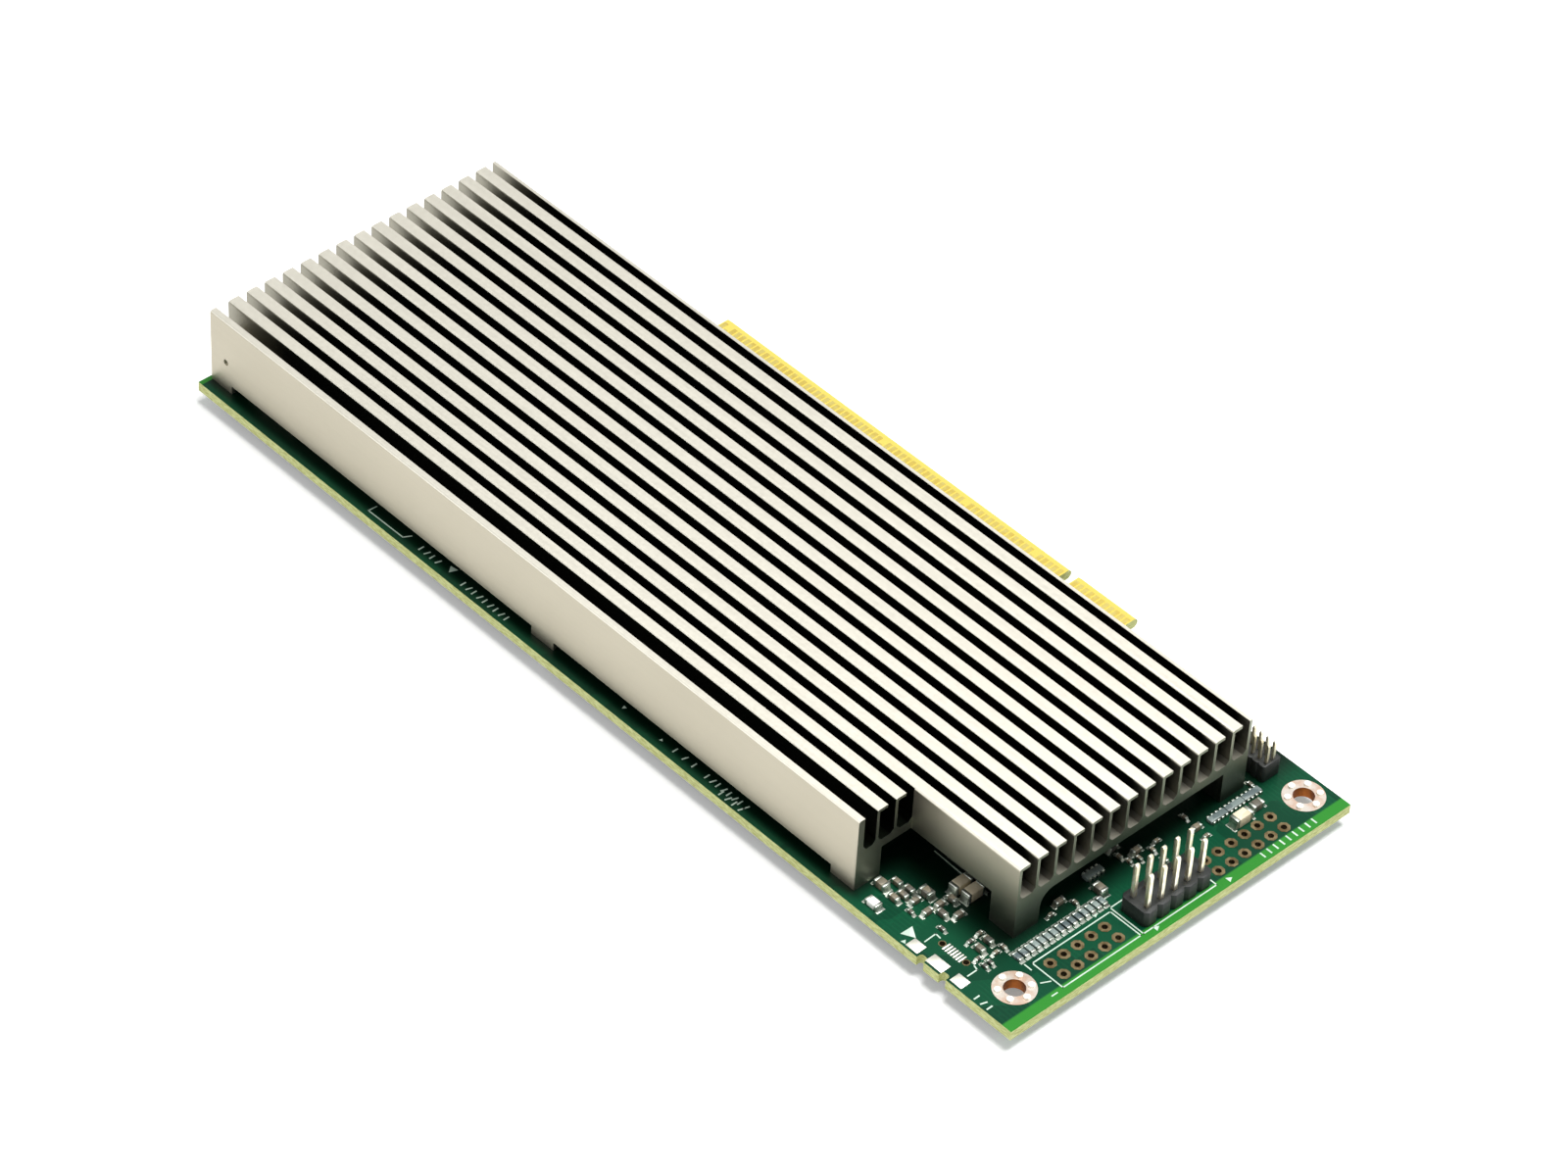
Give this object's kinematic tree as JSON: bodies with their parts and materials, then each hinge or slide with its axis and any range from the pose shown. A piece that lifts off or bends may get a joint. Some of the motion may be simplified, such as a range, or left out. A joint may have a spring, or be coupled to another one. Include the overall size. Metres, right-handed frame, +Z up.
{
  "type": "passive accelerator card",
  "caption": "Low-profile edge-connector accelerator board under one full-length finned aluminium heat sink, with bracket holes and pin header.",
  "frame": {"origin": "middle of the card's outline, on the plane of the screw heads it rests on", "axes": "+Z up from the board towards the heat sink's fins, +X along the board towards the bracket end, +Y towards the contact edge"},
  "size_m": [0.1676, 0.0688, 0.0164],
  "materials": {
    "solder_mask": "glossy green coated glass laminate",
    "gold_contact": "bright hard gold plating",
    "extrusion": "satin bare extruded aluminium",
    "screw_steel": "zinc plated steel",
    "copper_land": "plated copper land",
    "tin": "bright tin and solder",
    "header_plastic": "moulded black plastic",
    "moulding": "moulded black package",
    "laminate": "package substrate",
    "nickel": "nickel plated lid",
    "thermal": "soft thermal pad",
    "tan_ceramic": "fired ceramic chip body",
    "black_chip": "dark glazed resistor body",
    "lens": "clear to white moulded lens"
  },
  "bodies": {
    "root": {"bottom_capacitors": "tan_ceramic", "bottom_capacitors_ends": "tin", "bracket_bumps_far": "tin", "bracket_bumps_near": "tin", "bracket_ring_far": "copper_land", "bracket_ring_near": "copper_land", "ceramic_capacitors": "tan_ceramic", "ceramic_capacitors_ends": "tin", "contact_fingers_bottom": "gold_contact", "contact_fingers_top": "gold_contact", "debug_header_base": "header_plastic", "debug_header_pins": "gold_contact", "debug_header_solder": "tin", "far_grid_lands": "copper_land", "fine_capacitors": "tan_ceramic", "fine_capacitors_ends": "tin", "footprint_hole_rims": "copper_land", "footprint_pads": "tin", "header_lands": "copper_land", "heat_sink": "extrusion", "heat_sink_screws": "screw_steel", "memory_packages": "moulding", "mid_capacitors": "tan_ceramic", "mid_capacitors_ends": "tin", "near_grid_lands": "copper_land", "pcb": "solder_mask", "pin_header_base": "header_plastic", "pin_header_pins": "gold_contact", "pin_header_solder": "tin", "power_inductor": "moulding", "power_inductor_ends": "tin", "processor_lid": "nickel", "processor_substrate": "laminate", "regulator_packages": "moulding", "resistor_array_ends": "tin", "resistor_arrays": "black_chip", "row_resistors": "black_chip", "row_resistors_ends": "tin", "small_capacitors": "tan_ceramic", "small_capacitors_ends": "tin", "status_lamp": "lens", "status_lamp_ends": "tin", "thermal_pad": "thermal"}
  },
  "joints": []
}
